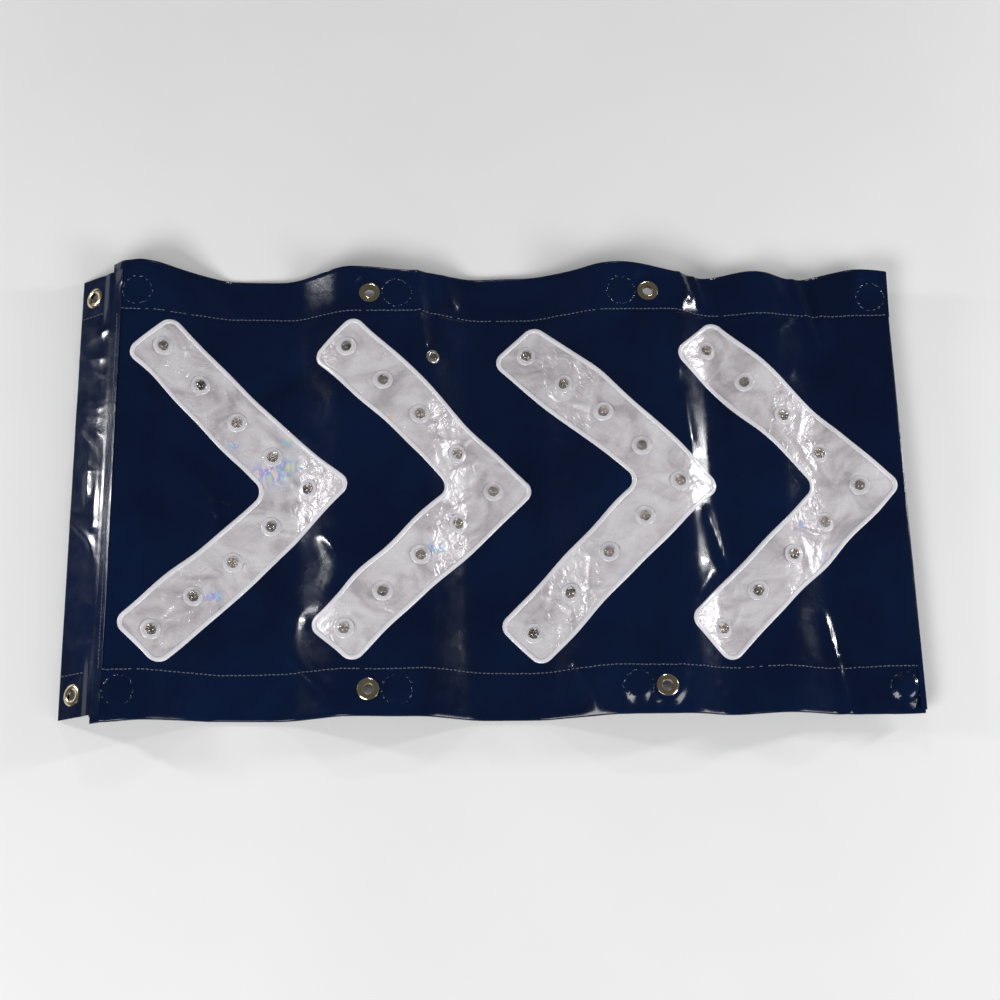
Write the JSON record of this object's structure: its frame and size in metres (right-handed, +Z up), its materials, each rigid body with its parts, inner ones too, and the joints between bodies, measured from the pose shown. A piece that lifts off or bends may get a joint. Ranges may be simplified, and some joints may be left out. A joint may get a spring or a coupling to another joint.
{
  "type": "LED chevron guide sheet",
  "caption": "Soft tarpaulin guide sheet with lit prismatic chevrons, hems with eyelets and magnets, and a linking flap.",
  "frame": {"origin": "on the ground, under the middle of the sheet and flap together", "axes": "+X the way the chevrons point, +Y towards the sheet's top edge, +Z up out of the front"},
  "size_m": [0.905, 0.5, 0.0461],
  "materials": {
    "navy_pvc": "glossy PVC-coated tarpaulin",
    "thread": "polyester sewing thread",
    "foam": "closed-cell foam",
    "prismatic_film": "prismatic reflective film, pearly",
    "white_rim": "welded white PVC border",
    "clear_lens": "clear moulded polycarbonate",
    "led_board": "flexible board",
    "led_chip": "LED package",
    "ribbon": "flat flexible conductor",
    "nickel": "nickel-plated brass",
    "magnet": "disc magnet, plated",
    "sensor_dark": "dark window",
    "bezel": "moulded bezel",
    "case_plastic": "moulded ABS",
    "seal_rubber": "foam rubber",
    "button_rubber": "moulded silicone",
    "circuit_green": "circuit board",
    "component_black": "moulded components",
    "cell_jacket": "battery cell jacket",
    "steel": "stainless steel"
  },
  "bodies": {
    "sheet": {"back_sheet": "navy_pvc", "front_sheet": "navy_pvc", "top_hem": "navy_pvc", "bottom_hem": "navy_pvc", "hem_stiffeners": "navy_pvc", "edge_weld": "navy_pvc", "flap_anchor": "navy_pvc", "hem_stitching": "thread", "seam_stitching": "thread", "bus_ribbon": "ribbon", "led_boards": "led_board", "led_chips": "led_chip", "link_magnets": "magnet", "weld_rings": "navy_pvc", "sheet_eyelets": "nickel", "sheet_washers": "nickel", "sensor_bezel": "bezel", "sensor_window": "sensor_dark", "sensor_lead": "ribbon", "power_lead": "ribbon", "case_base": "case_plastic", "case_cover": "case_plastic", "case_seal": "seal_rubber", "hinge_pin": "steel", "circuit_board": "circuit_green", "board_components": "component_black", "push_switch": "component_black", "battery_cells": "cell_jacket", "contact_plates": "steel", "contact_springs": "steel", "case_screws": "steel", "case_rivets": "steel", "rivet_washers": "steel", "foam_pad_1": "foam", "lamp_ribbon_1": "ribbon", "chevron_film_1": "prismatic_film", "chevron_rim_1": "white_rim", "lamp_lenses_1": "clear_lens", "foam_pad_2": "foam", "lamp_ribbon_2": "ribbon", "chevron_film_2": "prismatic_film", "chevron_rim_2": "white_rim", "lamp_lenses_2": "clear_lens", "foam_pad_3": "foam", "lamp_ribbon_3": "ribbon", "chevron_film_3": "prismatic_film", "chevron_rim_3": "white_rim", "lamp_lenses_3": "clear_lens", "foam_pad_4": "foam", "lamp_ribbon_4": "ribbon", "chevron_film_4": "prismatic_film", "chevron_rim_4": "white_rim", "lamp_lenses_4": "clear_lens"},
    "flap": {"link_flap": "navy_pvc", "flap_stitching": "thread", "flap_eyelets": "nickel", "flap_washers": "nickel"},
    "lid": {"battery_lid": "case_plastic"},
    "button": {"power_button": "button_rubber"}
  },
  "joints": [
    {"name": "flap_fold", "type": "hinge", "parent": "sheet", "child": "flap", "pos_m": [-0.4185, 0, 0.02], "axis": [0, 1, 0], "range_deg": [-110, 120]},
    {"name": "lid_hinge", "type": "hinge", "parent": "sheet", "child": "lid", "pos_m": [-0.1175, 0.0604, 0.0089], "axis": [-1, 0, 0], "range_deg": [0, 110]},
    {"name": "button_press", "type": "slide", "parent": "sheet", "child": "button", "axis": [0, 0, 1], "range_m": [0, 0.0015], "stiffness_N_per_m": 800, "springref_m": -0.0005}
  ]
}
